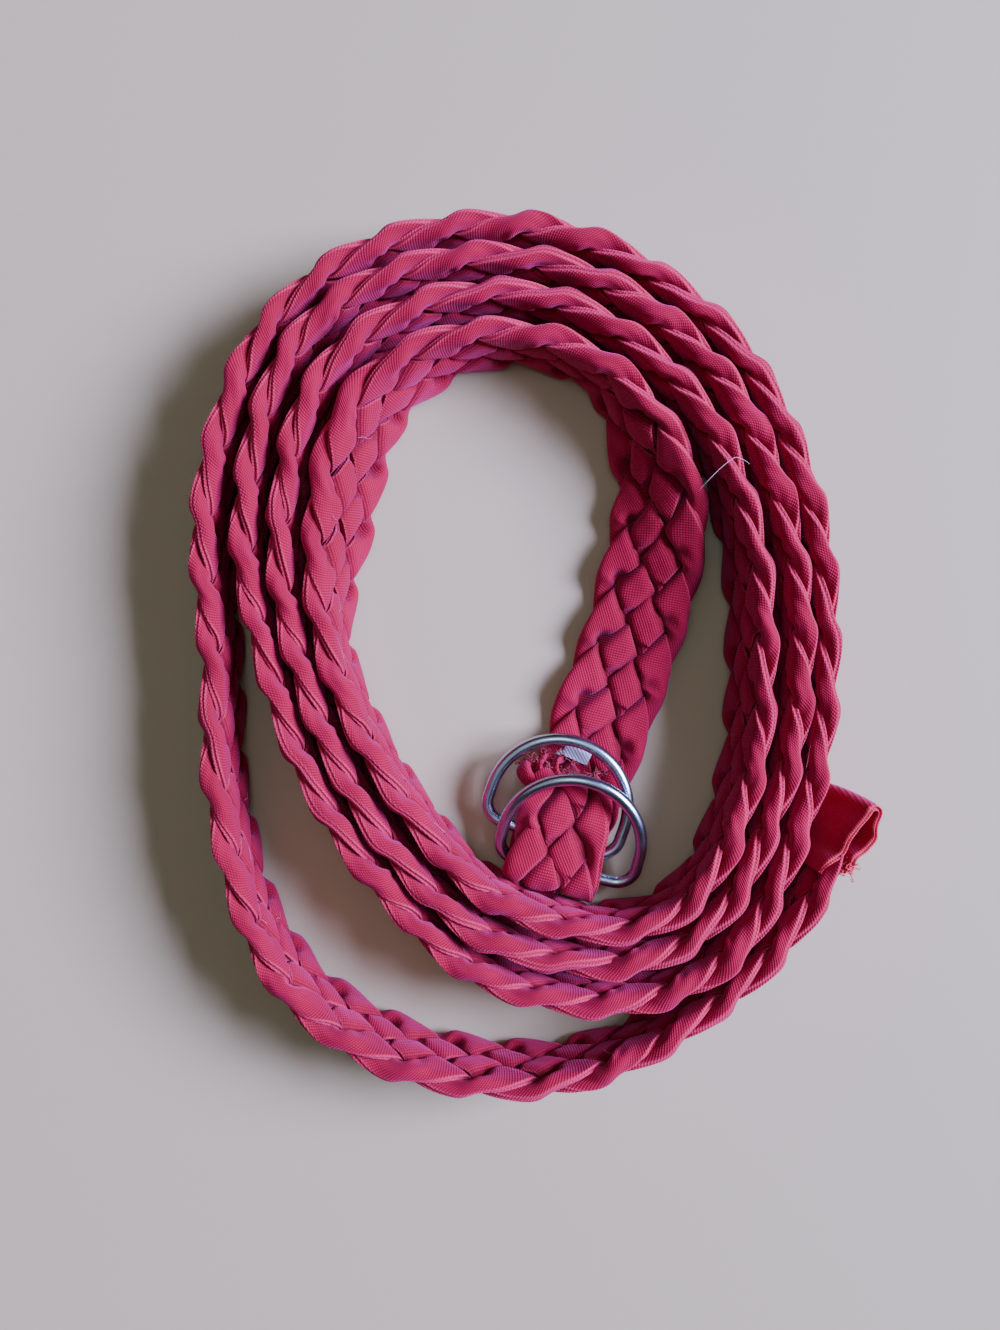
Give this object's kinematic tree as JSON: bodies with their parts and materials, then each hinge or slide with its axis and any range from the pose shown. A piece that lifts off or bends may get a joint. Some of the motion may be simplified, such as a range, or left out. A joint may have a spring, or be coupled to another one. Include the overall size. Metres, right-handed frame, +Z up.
{
  "type": "braided cloth belt with d-rings",
  "caption": "Flat braided cloth belt coiled on its edge, its inner end folded around two D-rings and its outer end capped with plain cloth.",
  "frame": {"origin": "middle of the coil's bounding box, on the surface that it rests on", "axes": "+Z up; +Y along the long side of the oval coil, away from the end with the D-rings; +X to the side of the cloth tab"},
  "size_m": [0.1308, 0.1664, 0.0206],
  "materials": {
    "braid_cloth": "plain-woven cotton strips, braided",
    "tab_cloth": "plain-woven cotton strip, folded and stitched",
    "ring_steel": "bent steel wire, bright nickel plate",
    "tape": "blank woven tape, frayed"
  },
  "bodies": {
    "belt": {"braided_band": "braid_cloth", "end_tab": "tab_cloth", "label_stub": "tape"},
    "ring_over": {"d_ring_over": "ring_steel"},
    "ring_under": {"d_ring_under": "ring_steel"}
  },
  "joints": [
    {"name": "over_swing", "type": "hinge", "parent": "belt", "child": "ring_over", "pos_m": [0.00538, -0.04224, 0.005], "axis": [0.9744, -0.225, 0], "range_deg": [0, 80]},
    {"name": "under_swing", "type": "hinge", "parent": "belt", "child": "ring_under", "pos_m": [0.00213, -0.03564, 0.005], "axis": [0.9455, -0.3256, 0], "range_deg": [0, 80]}
  ],
  "couplings": [
    {"joint": "under_swing", "follows": "over_swing", "ratio": 1}
  ]
}
